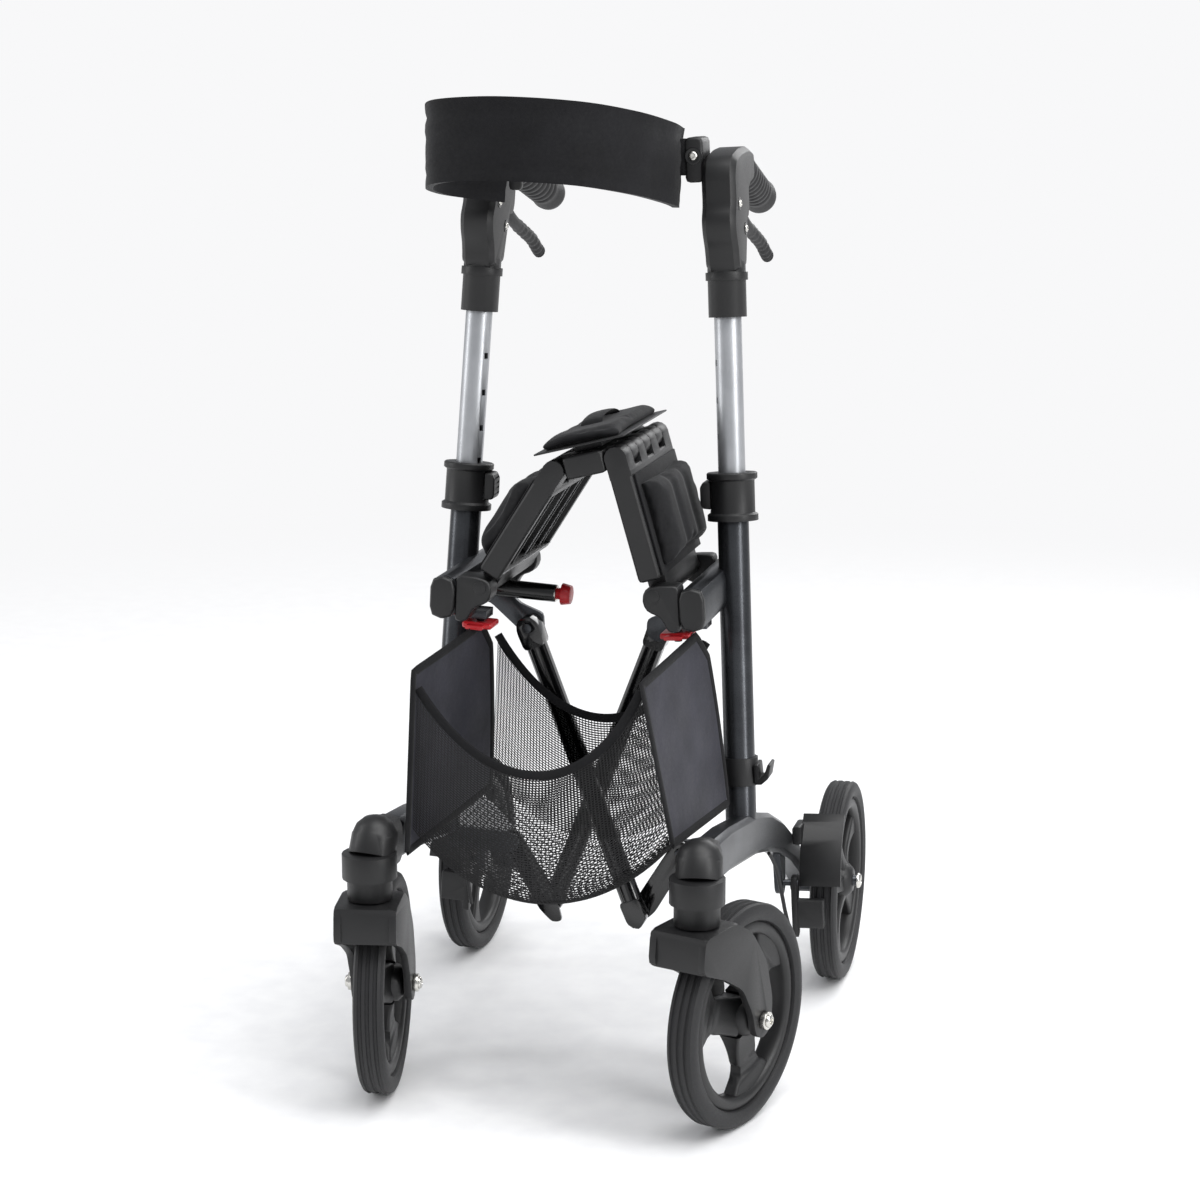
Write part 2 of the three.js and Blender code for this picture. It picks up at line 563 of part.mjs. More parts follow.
// Mesh trough: front wall, belly and back wall, hanging between the two sides.
function basketMesh() {
  const front = BASKET.front + 3;
  const back = BASKET.back - 4;
  return shell((s, t) => {
    const sag = 4 * s * (1 - s);
    const rimFront = ease(420, 428, s) - 84 * sag;
    const rimBack = ease(428, 432, s) - 80 * sag;
    const belly = ease(257, 280, s) - 70 * sag;
    const bulge = 10 * sag;
    let y;
    let z;
    if (t < 0.4) {
      y = front - bulge * Math.sin(t / 0.4 * Math.PI / 2);
      z = ease(rimFront, belly + 22, t / 0.4);
    } else if (t < 0.6) {
      const across = (t - 0.4) / 0.2;
      y = ease(front - bulge, back, across);
      z = belly + 22 - 22 * Math.sin(across * Math.PI) ** 0.6 + 14 * across;
    } else {
      y = back;
      z = ease(belly + 36, rimBack, (t - 0.6) / 0.4);
    }
    return new THREE.Vector3(ease(SIDE_X.left(y, z) + 10, SIDE_X.right(y, z) - 4.5, s), y, z);
  }, 10, 14, 3);
}

function basketClip() {
  const { u, y, z } = CLIP;
  const body = box(u - 15, u + 15, y - 15, y + 15, z - 3, z + 3, 2, 1.5);
  const tab = box(u - 9, u + 9, y - 24, y - 10, z - 2, z + 2, 1.5);
  return cut(join(body, tab), rod([u, y, z - 20], [u, y, z + 20], 4 + GAP, 14));
}

// Spring plunger with a ball knob, on the left rail under the seat hinge.
const PLUNGER = { y: 22, z: 487 };
function plungerSocket() {
  const { y, z } = PLUNGER;
  const face = RAIL.u - RAIL.w / 2 - GAP;
  const flange = box(face - 5, face, y - 14, y + 10, z - 12, z + 12, 2);
  const barrel = rod([-32, y, z], [-106, y, z], 9, 16);
  return cut(join(flange, barrel), rod([-60, y, z], [-115, y, z], 6 + GAP, 12));
}

function plungerKnob() {
  const { y, z } = PLUNGER;
  const cap = rod([-112, y, z], [-122, y, z], 11.5, 14, 9.5);
  return join(rod([-72, y, z], [-114, y, z], 6, 12), cap);
}

// ---- assembly -----------------------------------------------------------------------------
const group = new THREE.Group();
group.name = 'walking_frame';
const whole = new THREE.Group();
whole.position.set(...ORIGIN);
group.add(whole);

const leaning = {};
for (const [name, side] of [['right', 1], ['left', -1]]) {
  const frame = new THREE.Group();
  frame.position.x = side * HALF_TRACK;
  frame.rotation.y = -side * LEAN;
  whole.add(frame);
  leaning[name] = frame;
  const add = (part, geometry, material) => mesh(frame, `${name}_${part}`, geometry, material, side);

  add('side_frame', sideFrame(side), M.frame);
  add('rail_cap', railCap(), M.black);
  add('hinge_block', hingeBlock(), M.black);
  add('clamp_collar', clampCollar(), M.black);
  add('clamp_lever', clampLever(), M.black);
  add('upper_tube', upperTube(), M.silver);
  add('handle_head', handleHead(), M.black);
  add('handle_grip', grip(), M.rubber);
  add('brake_lever', brakeLever(), M.black);
  add('backrest_bracket', bracket(), M.black);
  add('brake_cover', brakeCover(), M.black);
  add('brake_arm', brakeArm(), M.steel);
  add('brake_cable', brakeCable(), M.rubber);
  add('basket_clip', basketClip(), M.red);

  // The brace arm and the link plate hang on their frame's pivots, turned to the rest pose.
  const rightArm = side > 0;
  const armY = LINK.y + side * 14;
  const hang = (part, geometry, u, y, z, turn) => {
    const x = side * (HALF_TRACK + u * Math.cos(LEAN) - z * Math.sin(LEAN));
    const piece = mesh(whole, `${name}_${part}`, geometry, M.black);
    piece.position.set(x, y, z * Math.cos(LEAN) + u * Math.sin(LEAN));
    piece.rotation.y = turn;
  };
  hang('brace_arm', braceArm(), BRACE.u, armY, BRACE.z, rightArm ? BRACE.tilt : -BRACE.tilt);
  hang('link_plate', linkPlate(), LINK.u, LINK.y, LINK.z, rightArm ? LINK.swing : -LINK.swing);

  // Front caster, swivelled a little as it stands.
  const elbow = new THREE.Group();
  elbow.position.set(side * CASTER.x, CASTER.y, 0);
  whole.add(elbow);
  mesh(elbow, `${name}_caster_elbow`, casterElbow(CASTER.x), M.black, side);
  const caster = new THREE.Group();
  caster.position.copy(elbow.position);
  caster.rotation.z = side > 0 ? CASTER.yawRight : CASTER.yawLeft;
  whole.add(caster);
  mesh(caster, `${name}_caster_fork`, casterFork(), M.black);
  mesh(caster, `${name}_front_axle`, casterAxle(), M.steel);
  mesh(caster, `${name}_front_wheel`, rim(3, 42), M.black).position.set(0, CASTER.trail, WHEEL.r);
  mesh(caster, `${name}_front_tyre`, tyre(), M.tyre).position.set(0, CASTER.trail, WHEEL.r);
  const rear = [side * (HALF_TRACK + REAR.u), REAR.y, WHEEL.r];
  mesh(whole, `${name}_rear_wheel`, rim(5, 34), M.black, side).position.set(...rear);
  mesh(whole, `${name}_rear_tyre`, tyre(), M.tyre, side).position.set(...rear);
}
mesh(leaning.left, 'plunger_socket', plungerSocket(), M.black, -1);
mesh(leaning.left, 'plunger_knob', plungerKnob(), M.red, -1);

// Seat: right panel, centre piece and left panel, placed by their rest angles.
const hingeX = HALF_TRACK + HINGE.u * Math.cos(LEAN) - HINGE.z * Math.sin(LEAN);
const hingeZ = HINGE.z * Math.cos(LEAN) + HINGE.u * Math.sin(LEAN);
const topX = hingeX - SEAT.length * Math.sin(REST.right);
const topZ = hingeZ + SEAT.length * Math.cos(REST.right);

function seatGroup(x, z, turn) {
  const place = new THREE.Group();
  place.position.set(x, 0, z);
  place.rotation.y = turn;
  whole.add(place);
  return place;
}

const rightSeat = seatGroup(hingeX, hingeZ, Math.PI / 2 - REST.right);
const leftSeat = seatGroup(-hingeX, hingeZ, REST.left - Math.PI / 2);
const centreSeat = seatGroup(topX, topZ, -REST.roll);
mesh(rightSeat, 'right_seat_panel', seatPanel(), M.black, -1);
mesh(rightSeat, 'right_seat_cushion', cushion(), M.fabric, -1);
mesh(leftSeat, 'left_seat_panel', seatPanel(), M.black);
mesh(leftSeat, 'left_seat_cushion', cushion(), M.fabric);
mesh(centreSeat, 'seat_centre', seatCentre(), M.black, -1);
mesh(centreSeat, 'centre_pad', centrePad(), M.fabric, -1);

mesh(leaning.right, 'tube_clip', tubeClip(), M.black);
mesh(whole, 'backrest_band', backrestBand(), M.fabric);
mesh(whole, 'band_end_tab', box(-93, -80, 51.5, 59.6, 882, 938, 4, 1), M.black);
mesh(whole, 'right_basket_side', basketSide('right'), M.fabric);
mesh(whole, 'left_basket_side', basketSide('left'), M.fabric);
mesh(whole, 'basket_mesh', basketMesh(), M.fabric);

export default group;
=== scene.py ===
# Folding four-wheel walking frame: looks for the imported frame. Metres, +Z up, the user walks towards -Y.
import json
import math
import bmesh
import bpy
from mathutils import Matrix, Vector, noise


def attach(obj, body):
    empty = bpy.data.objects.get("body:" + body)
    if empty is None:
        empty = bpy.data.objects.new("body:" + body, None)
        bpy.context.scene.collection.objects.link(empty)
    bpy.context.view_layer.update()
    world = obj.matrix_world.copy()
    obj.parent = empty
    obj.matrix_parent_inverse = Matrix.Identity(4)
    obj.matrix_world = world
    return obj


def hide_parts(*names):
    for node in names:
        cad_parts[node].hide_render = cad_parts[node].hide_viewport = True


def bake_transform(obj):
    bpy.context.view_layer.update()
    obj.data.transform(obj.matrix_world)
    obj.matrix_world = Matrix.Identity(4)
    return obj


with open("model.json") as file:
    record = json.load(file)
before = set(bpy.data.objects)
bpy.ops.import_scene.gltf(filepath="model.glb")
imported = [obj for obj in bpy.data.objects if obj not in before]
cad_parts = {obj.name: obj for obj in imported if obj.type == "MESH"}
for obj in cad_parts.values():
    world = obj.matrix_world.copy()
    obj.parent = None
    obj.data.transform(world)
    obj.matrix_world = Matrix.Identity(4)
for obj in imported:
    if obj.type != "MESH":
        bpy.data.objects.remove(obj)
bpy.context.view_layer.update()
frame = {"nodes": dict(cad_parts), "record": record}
JOINTS = {j["name"]: j for j in frame["record"]["behaviour"]["joints"]}
MM = 0.001
SIDES = (("right", 1), ("left", -1))

# ---- driving dimensions, as the frame has them ---------------------------------------------------
LEAN = math.radians(3.11)
HALF_TRACK = 0.1696
ORIGIN = Vector((-0.00026, -0.0823, 0))
WHEEL_R = 0.110
RIM_R = 0.092
TYRE_WIDTH = 0.030


def leaning(side):
    """Matrix from a side frame's own (u outwards, y, z) to the row frame."""
    turn = Matrix.Rotation(-LEAN, 4, "Y")
    move = Matrix.Translation((HALF_TRACK, 0, 0))
    mirror = Matrix.Scale(side, 4, (1, 0, 0))
    return Matrix.Translation(ORIGIN) @ mirror @ move @ turn


def at_joint(name):
    """Place of a joint, with local X along its axis."""
    joint = JOINTS[name]
    axis = Vector(joint["axis"]).normalized()
    turn = Vector((1, 0, 0)).rotation_difference(axis).to_matrix().to_4x4()
    return Matrix.Translation(joint["pos_m"]) @ turn


# ---- camera --------------------------------------------------------------------------------------
CAMERA_AT = (0.667, -2.651, 1.033)
CAMERA_AZIMUTH = math.radians(14.27)
CAMERA_PITCH = math.radians(11.77)
camera_data = bpy.data.cameras.new("camera")
camera_data.lens = 81.3
camera_data.sensor_width = 36
camera = bpy.data.objects.new("camera", camera_data)
camera.location = CAMERA_AT
camera.rotation_euler = (math.pi / 2 - CAMERA_PITCH, 0, CAMERA_AZIMUTH)
bpy.context.scene.collection.objects.link(camera)
bpy.context.scene.camera = camera


# ---- materials -----------------------------------------------------------------------------------
def linear(code):
    """sRGB hex such as 1d1d1f as linear RGBA."""
    values = [int(code[i:i + 2], 16) / 255 for i in (0, 2, 4)]
    return tuple(v / 12.92 if v <= 0.04045 else ((v + 0.055) / 1.055) ** 2.4 for v in values) + (1.0,)


def node(tree, kind, settings=None, links=None):
    """Adds a node; links gives each input a value or the socket that feeds it."""
    made = tree.nodes.new(kind)
    for key, value in (settings or {}).items():
        setattr(made, key, value)
    for key, value in (links or {}).items():
        if isinstance(value, bpy.types.NodeSocket):
            tree.links.new(value, made.inputs[key])
        else:
            made.inputs[key].default_value = value
    return made


def material(name, dark, light, roughness, metallic=0.0, grain=1.0, bump=0.05, depth=0.1, stretch=(1, 1, 1),
             rough_spread=0.08, shader=None, patch=40.0):
    """Mottled base colour between two hex values, with a grain in roughness and height.

    grain and patch are the sizes of the fine grain and of the broad mottling, in millimetres."""
    made = bpy.data.materials.new(name)
    made.use_nodes = True
    tree = made.node_tree
    tree.nodes.clear()
    place = node(tree, "ShaderNodeTexCoord")
    mapped = node(tree, "ShaderNodeMapping", None, {"Vector": place.outputs["Object"], "Scale": stretch})
    fine = node(tree, "ShaderNodeTexNoise", None,
                {"Vector": mapped.outputs[0], "Scale": 1 / (grain * MM), "Detail": 4.0, "Roughness": 0.6})
    broad = node(tree, "ShaderNodeTexNoise", None,
                 {"Vector": place.outputs["Object"], "Scale": 1 / (patch * MM), "Detail": 3.0})
    mottle = node(tree, "ShaderNodeMath", {"operation": "MULTIPLY_ADD"},
                  {0: fine.outputs["Fac"], 1: 0.45, 2: broad.outputs["Fac"]})
    ramp = node(tree, "ShaderNodeValToRGB", None, {"Fac": mottle.outputs[0]})
    ramp.color_ramp.elements[0].position = 0.45
    ramp.color_ramp.elements[0].color = linear(dark)
    ramp.color_ramp.elements[1].position = 0.95
    ramp.color_ramp.elements[1].color = linear(light)
    rough = node(tree, "ShaderNodeMapRange", None,
                 {"Value": fine.outputs["Fac"], "From Min": 0.3, "From Max": 0.7,
                  "To Min": roughness - rough_spread, "To Max": roughness + rough_spread})
    height = node(tree, "ShaderNodeBump", None,
                  {"Height": fine.outputs["Fac"], "Strength": bump, "Distance": depth * MM})
    surface = node(tree, "ShaderNodeBsdfPrincipled", None,
                   {"Base Color": ramp.outputs[0], "Roughness": rough.outputs[0], "Metallic": metallic,
                    "Normal": height.outputs[0]})
    for key, value in (shader or {}).items():
        surface.inputs[key].default_value = value
    out = node(tree, "ShaderNodeOutputMaterial", None, {"Surface": surface.outputs[0]})
    out.location.x = 600
    return made


def woven(name, dark, light, roughness, thread, bump, sheen, puckers=0.3):
    """Plain weave: two sets of threads across each other, thread is their spacing in millimetres."""
    made = material(name, dark, light, roughness, grain=thread * 3, bump=0.2, depth=0.2, shader={
        "Sheen Weight": sheen * 0.4, "Sheen Roughness": 0.4, "Specular IOR Level": 0.25})
    tree = made.node_tree
    surface = next(n for n in tree.nodes if n.type == "BSDF_PRINCIPLED")
    grain = next(n for n in tree.nodes if n.type == "BUMP")
    place = next(n for n in tree.nodes if n.type == "TEX_COORD")
    waves = [node(tree, "ShaderNodeTexWave", {"wave_type": "BANDS", "bands_direction": way},
                  {"Vector": place.outputs["Object"], "Scale": 0.314 / (thread * MM), "Distortion": 0.6,
                   "Detail": 1.0, "Detail Scale": 2.0})
             for way in ("DIAGONAL", "Z")]
    weave = node(tree, "ShaderNodeMath", {"operation": "MULTIPLY"},
                 {0: waves[0].outputs["Fac"], 1: waves[1].outputs["Fac"]})
    height = node(tree, "ShaderNodeBump", None,
                  {"Height": weave.outputs[0], "Strength": bump, "Distance": 0.25 * MM,
                   "Normal": grain.outputs[0]})
    folds = node(tree, "ShaderNodeTexNoise", None,
                 {"Vector": place.outputs["Object"], "Scale": 1 / 0.035, "Detail": 2.0})
    soft = node(tree, "ShaderNodeBump", None,
                {"Height": folds.outputs["Fac"], "Strength": puckers, "Distance": 4 * MM,
                 "Normal": height.outputs[0]})
    tree.links.new(soft.outputs[0], surface.inputs["Normal"])
    return made


# Glass-filled nylon, moulded: dark, slightly grey where light rakes it, with a fine spark-eroded grain.
NYLON = material("moulded_nylon", "0a0a0b", "131314", 0.46, grain=0.9, bump=0.12, depth=0.12)
# The same nylon from a polished tool, as on the seat's underside: deeper and glossier.
GLOSS_NYLON = material("polished_nylon", "050506", "0a0a0b", 0.2, grain=6, bump=0.03, depth=0.1)
# Powder-coated aluminium with metal flake: graphite with a soft long highlight.
GRAPHITE = material("graphite_powder_coat", "38393c", "4d4f52", 0.32, 0.9, grain=0.7, bump=0.08, depth=0.06)
# Black gloss enamel on steel tube: near black with a clean highlight.
ENAMEL = material("black_enamel", "060607", "0b0b0c", 0.16, grain=2.5, bump=0.05, depth=0.08,
                  shader={"Coat Weight": 0.4, "Coat Roughness": 0.08})
# Anodised aluminium tube, drawn along its length: pale satin with fine lines along it.
ANODISED = material("anodised_aluminium", "a6a8ab", "bcbec1", 0.42, 0.9, grain=0.5, bump=0.03, depth=0.03,
                    stretch=(1, 1, 0.02), rough_spread=0.05)
# Solid polyurethane tyre: dull dark grey with a faint dusty bloom.
TYRE = material("polyurethane_tyre", "121213", "1b1b1d", 0.6, grain=1.6, bump=0.15, depth=0.15)
# Thermoplastic rubber of the grips: softer and darker than the tyres.
GRIP = material("grip_rubber", "0d0d0f", "161618", 0.6, grain=1.0, bump=0.15, depth=0.12)
# Zinc-plated steel of bolts, nuts and pins: bright with a slightly warm tone.
ZINC = material("zinc_plated_steel", "b9b8b4", "dedcd6", 0.22, 1.0, grain=1.2, bump=0.05, depth=0.05)
# Red acetal of the clips and the plunger's knob: clean, slightly waxy.
RED = material("red_acetal", "b3161e", "d3262e", 0.34, grain=2.0, bump=0.04, depth=0.06,
               shader={"Subsurface Weight": 0.05})
# Natural grey acetal of the plunger: light and satin. In this script it is used only as a painted highlight,
# on thin strips along the seat panels' rib edges.
PAINTED_HIGHLIGHT_GREY = material("grey_acetal_painted_highlight", "8d8e90", "a9aaac", 0.4, grain=2.0, bump=0.04, depth=0.06)
# Polyester cover of the backrest band: 1.2 mm weave, drawn a little coarser than it is so that it shows.
BAND_CLOTH = woven("polyester_band_cover", "0b0b0d", "141417", 0.82, 1.2, 0.35, 0.25)
# Coated nylon of the basket sides: smoother, with a violet-grey cast.
SIDE_CLOTH = woven("coated_nylon_cloth", "23232a", "303039", 0.6, 0.9, 0.2, 0.3)
# Knitted polyester over foam on the seat: charcoal, matt.
SEAT_CLOTH = woven("seat_cover_cloth", "0e0e10", "18181a", 0.78, 1.1, 0.22, 0.2, 0.15)
# Grosgrain binding tape: black, ribbed across.
TAPE = woven("grosgrain_binding", "0c0c0e", "151517", 0.8, 1.4, 0.5, 0.2, 0.1)
# Polyester net: black twisted cord.
NET = material("polyester_net", "0a0a0b", "121214", 0.7, grain=1.0, bump=0.2, depth=0.1)


# ---- pieces --------------------------------------------------------------------------------------
def smooth_by_angle(angle):
    """Geometry nodes that shade a mesh smooth, but for edges sharper than angle."""
    group = bpy.data.node_groups.new("smooth_by_angle", "GeometryNodeTree")
    group.interface.new_socket("Geometry", in_out="INPUT", socket_type="NodeSocketGeometry")
    group.interface.new_socket("Geometry", in_out="OUTPUT", socket_type="NodeSocketGeometry")
    source = node(group, "NodeGroupInput")
    bend = node(group, "GeometryNodeInputMeshEdgeAngle")
    gentle = node(group, "FunctionNodeCompare", {"operation": "LESS_THAN"}, {0: bend.outputs[0], 1: angle})
    faces = node(group, "GeometryNodeSetShadeSmooth", {"domain": "FACE"}, {"Geometry": source.outputs[0]})
    edges = node(group, "GeometryNodeSetShadeSmooth", {"domain": "EDGE"},
                 {"Geometry": faces.outputs[0], "Shade Smooth": gentle.outputs[0]})
    node(group, "NodeGroupOutput", None, {"Geometry": edges.outputs[0]})
    return group


SMOOTH = smooth_by_angle(math.radians(32))


def dress(name, finish, edge=0.6):
    """Finishes a CAD node: clean faces, slightly broken edges of edge millimetres, smooth curves."""
    obj = frame["nodes"][name]
    if not obj.material_slots:
        obj.data.materials.append(finish)
    for spot in obj.material_slots:
        spot.material = finish
    weld = obj.modifiers.new("weld", "WELD")
    weld.merge_threshold = 2e-5
    flat = obj.modifiers.new("flat", "DECIMATE")
    flat.decimate_type = "DISSOLVE"
    flat.angle_limit = math.radians(1.0)
    if edge:
        broken = obj.modifiers.new("edge", "BEVEL")
        broken.width = edge * MM
        broken.segments = 2
        broken.limit_method = "ANGLE"
        broken.angle_limit = math.radians(40)
    shade = obj.modifiers.new("smooth", "NODES")
    shade.node_group = SMOOTH


def piece(name, bm, finish, body, stands_for=(), sharp=35, ride=True):
    """Makes a finished object of a bmesh, its place in its mesh, riding on a CAD body."""
    bmesh.ops.remove_doubles(bm, verts=bm.verts, dist=1e-6)
    bmesh.ops.recalc_face_normals(bm, faces=bm.faces)
    mesh = bpy.data.meshes.new(name)
    bm.to_mesh(mesh)
    bm.free()
    for face in mesh.polygons:
        face.use_smooth = True
    mesh.set_sharp_from_angle(angle=math.radians(sharp))
    mesh.materials.append(finish)
    obj = bpy.data.objects.new(name, mesh)
    bpy.context.scene.collection.objects.link(obj)
    if ride:
        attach(obj, body)
    if stands_for:
        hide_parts(*stands_for)
    return obj


def turned(bm, profile, place, steps=48):
    """Adds a full turn of a profile of (distance along the axis, radius) about the place's local X."""
    verts = [bm.verts.new(place @ Vector((x, 0, r))) for x, r in profile]
    edges = [bm.edges.new(pair) for pair in zip(verts, verts[1:])]
    bmesh.ops.spin(bm, geom=verts + edges, cent=place.translation, axis=place.to_3x3() @ Vector((1, 0, 0)),
                   angle=2 * math.pi, steps=steps, use_merge=True)
    return bm


def sweep(bm, path, section, up):
    """Adds a closed tube: a section of (along up, across) offsets carried along path, leaning with up(i)."""
    n, m = len(path) - 1, len(section)
    grid = bmesh.ops.create_grid(bm, x_segments=n, y_segments=m, size=1.0)["verts"]
    for v in grid:
        i = round((v.co.x + 1) / 2 * n)
        j = round((v.co.y + 1) / 2 * m) % m
        ahead = (path[min(i + 1, n)] - path[max(i - 1, 0)]).normalized()
        high = up(i)
        high = (high - ahead * high.dot(ahead)).normalized()
        across = ahead.cross(high)
        a, b = section[j] if not callable(section[j]) else section[j](i)
        v.co = path[i] + high * a + across * b
    bmesh.ops.remove_doubles(bm, verts=grid, dist=1e-7)
    ends = [e for e in bm.edges if e.is_boundary]
    bmesh.ops.holes_fill(bm, edges=ends, sides=0)
    return bm


def ring_section(a, b, count=10):
    """Closed oval section of half sizes a and b."""
    turns = [2 * math.pi * k / count for k in range(count)]
    return [(a * math.cos(turn), b * math.sin(turn)) for turn in turns]


def curve_through(points, count):
    """Points on a smooth curve through the given ones."""
    def value(f):
        i = min(int(f), len(points) - 2)
        t = f - i
        p0, p1 = points[max(i - 1, 0)], points[i]
        p2, p3 = points[i + 1], points[min(i + 2, len(points) - 1)]
        return 0.5 * ((2 * p1) + (p2 - p0) * t + (2 * p0 - 5 * p1 + 4 * p2 - p3) * t ** 2
                      + (3 * p1 - p0 - 3 * p2 + p3) * t ** 3)
    return [value((len(points) - 1) * k / (count - 1)) for k in range(count)]


def add(bm, part, place=Matrix()):
    """Puts a finished part into bm, moved to its place."""
    bmesh.ops.transform(part, matrix=place, verts=part.verts)
    mesh = bpy.data.meshes.new("part")
    part.to_mesh(mesh)
    part.free()
    bm.from_mesh(mesh)
    bpy.data.meshes.remove(mesh)


def block(bm, low, high, place=Matrix(), round_by=0.0, segments=3):
    """Adds a box with rounded edges, between two corners in the place's own axes."""
    low, high = Vector(low), Vector(high)
    part = bmesh.new()
    scale = Matrix.Diagonal((*(high - low), 1))
    bmesh.ops.create_cube(part, size=1.0, matrix=Matrix.Translation((low + high) / 2) @ scale)
    if round_by:
        bmesh.ops.bevel(part, geom=list(part.edges), offset=round_by, offset_type="OFFSET", segments=segments,
                        affect="EDGES", profile=0.5, material=-1)
    add(bm, part, place)


def button_bolt(name, at, outward, radius, body):
    """Button-head bolt with a hexagon socket, its head standing out along outward."""
    bm = bmesh.new()
    turn = Vector((1, 0, 0)).rotation_difference(Vector(outward).normalized()).to_matrix().to_4x4()
    place = Matrix.Translation(at) @ turn
    r = radius
    head = [(0, r), (0.18 * r, r), (0.4 * r, 0.86 * r), (0.5 * r, 0.62 * r), (0.52 * r, 0.5 * r)]
    socket = [(0.52 * r, 0.5 * r), (0.2 * r, 0.42 * r), (0.16 * r, 0)]
    for profile in (head, socket, [(0, r), (0, 0)]):
        turned(bm, profile, place, 32)
    return piece(name, bm, ZINC, body, sharp=40)


# ---- CAD nodes that keep their shape ---------------------------------------------------------------
PLAIN = {
    "rail_cap": (NYLON, 0.8), "hinge_block": (NYLON, 0.8), "clamp_collar": (NYLON, 0.6),
    "clamp_lever": (NYLON, 0.5), "handle_head": (NYLON, 0.8), "backrest_bracket": (NYLON, 0.8),
    "brake_cover": (NYLON, 0.8), "brake_arm": (NYLON, 0.4), "brake_cable": (GRIP, 0.0),
    "basket_clip": (RED, 0.6), "caster_elbow": (NYLON, 0.8), "caster_fork": (NYLON, 2.4),
    "front_axle": (ZINC, 0.5), "brace_arm": (ENAMEL, 0.6), "link_plate": (ENAMEL, 0.5),
    "side_frame": (GRAPHITE, 0.5), "upper_tube": (ANODISED, 0.3), "seat_panel": (NYLON, 0.8),
    "brake_lever": (GRIP, 0.8),
}
SINGLE = {
    "tube_clip": (NYLON, 0.4), "plunger_socket": (GLOSS_NYLON, 0.5), "plunger_knob": (RED, 1.0),
    "seat_centre": (NYLON, 0.8), "band_end_tab": (NYLON, 0.4),
}
for side_name, _ in SIDES:
    for part, (finish, edge) in PLAIN.items():
        dress(f"{side_name}_{part}", finish, edge)
for name, (finish, edge) in SINGLE.items():
    dress(name, finish, edge)


# ---- wheels ----------------------------------------------------------------------------------------
GROOVES = (-0.5, 0.0, 0.5)
GROOVE_DEPTH = 0.0016


def tyre(name, joint, body):
    h = TYRE_WIDTH / 2
    r = WHEEL_R
    profile = [(-0.6 * h, RIM_R), (-0.86 * h, RIM_R + 0.0015), (-h, RIM_R + 0.006), (-h, r - 0.008),
               (-0.95 * h, r - 0.0045)]
    tread = [(-0.83 * h, r - 0.0015)]
    for groove in GROOVES:
        x = groove * h
        floor_r = r - GROOVE_DEPTH
        tread += [(x - 0.0022, r - 0.0001), (x - 0.0012, floor_r), (x + 0.0012, floor_r),
                  (x + 0.0022, r - 0.0001)]
    tread.append((0.83 * h, r - 0.0015))
    profile += tread
    profile += [(0.95 * h, r - 0.0045), (h, r - 0.008), (h, RIM_R + 0.006), (0.86 * h, RIM_R + 0.0015),
                (0.6 * h, RIM_R)]
    bm = turned(bmesh.new(), profile + [profile[0]], at_joint(joint), 96)
    return piece(name + "_ribbed", bm, TYRE, body, (name,), sharp=28)


def spoke(bm, place, angle, widths, depths, reach):
    """Moulded spoke, waisted between hub and rim; widths and depths are (at hub, at waist, at rim)."""
    part = bmesh.new()
    bmesh.ops.create_cube(part, size=1.0)
    along = [e for e in part.edges if abs(e.verts[0].co.z - e.verts[1].co.z) > 0.5]
    bmesh.ops.subdivide_edges(part, edges=along, cuts=12, use_grid_fill=True)
    for v in part.verts:
        f = v.co.z + 0.5
        blend = (2 * f - 1) ** 2
        end = 0 if f < 0.5 else 2
        width = widths[1] + (widths[end] - widths[1]) * blend
        depth = depths[1] + (depths[end] - depths[1]) * blend
        v.co = Vector((v.co.x * depth, v.co.y * width, reach[0] + (reach[1] - reach[0]) * f))
    corners = [e for e in part.edges if abs(e.verts[0].co.z - e.verts[1].co.z) > 1e-5]
    bmesh.ops.bevel(part, geom=corners, offset=0.0035, offset_type="OFFSET", segments=3, affect="EDGES",
                    profile=0.5, material=-1)
    add(bm, part, place @ Matrix.Rotation(angle, 4, "X"))


RIM_INNER = 0.0795
RIM_HALF = 0.0105
# Spoke count, turn of the first spoke, hub width, and the spokes' widths and depths at hub, waist and rim.
WHEELS = {
    "front": {"count": 3, "turn": 1.31, "hub": 0.042,
              "widths": (0.040, 0.036, 0.092), "depths": (0.024, 0.012, 0.018)},
    "rear": {"count": 5, "turn": 0.3, "hub": 0.034,
             "widths": (0.020, 0.013, 0.034), "depths": (0.022, 0.010, 0.015)},
}
SPOKE_REACH = (0.014, 0.0815)


def wheel(name, joint, body, kind):
    """Moulded wheel: a rim, a hub that flares to its middle, and waisted spokes."""
    place = at_joint(joint)
    bm = bmesh.new()
    inner, x = RIM_INNER, RIM_HALF
    turned(bm, [(-x, inner + 0.002), (-x - 0.0015, inner + 0.006), (-x, RIM_R - 0.0015), (-x + 0.001, RIM_R),
                (x - 0.001, RIM_R), (x, RIM_R - 0.0015), (x + 0.0015, inner + 0.006), (x, inner + 0.002),
                (x - 0.003, inner), (-x + 0.003, inner), (-x, inner + 0.002)], place, 96)
    h = kind["hub"] / 2
    turned(bm, [(-h, 0.0066), (-h, 0.012), (-h + 0.002, 0.0145), (-h + 0.006, 0.0185), (-0.004, 0.021),
                (0.004, 0.021), (h - 0.006, 0.0185), (h - 0.002, 0.0145), (h, 0.012), (h, 0.0066),
                (-h, 0.0066)], place, 48)
    for k in range(kind["count"]):
        angle = 2 * math.pi * k / kind["count"] + kind["turn"]
        spoke(bm, place, angle, kind["widths"], kind["depths"], SPOKE_REACH)
    return piece(name + "_moulded", bm, NYLON, body, (name,), sharp=40)


FRONT_BOLT_AT = 0.0355
REAR_BOLT_AT = 0.0215

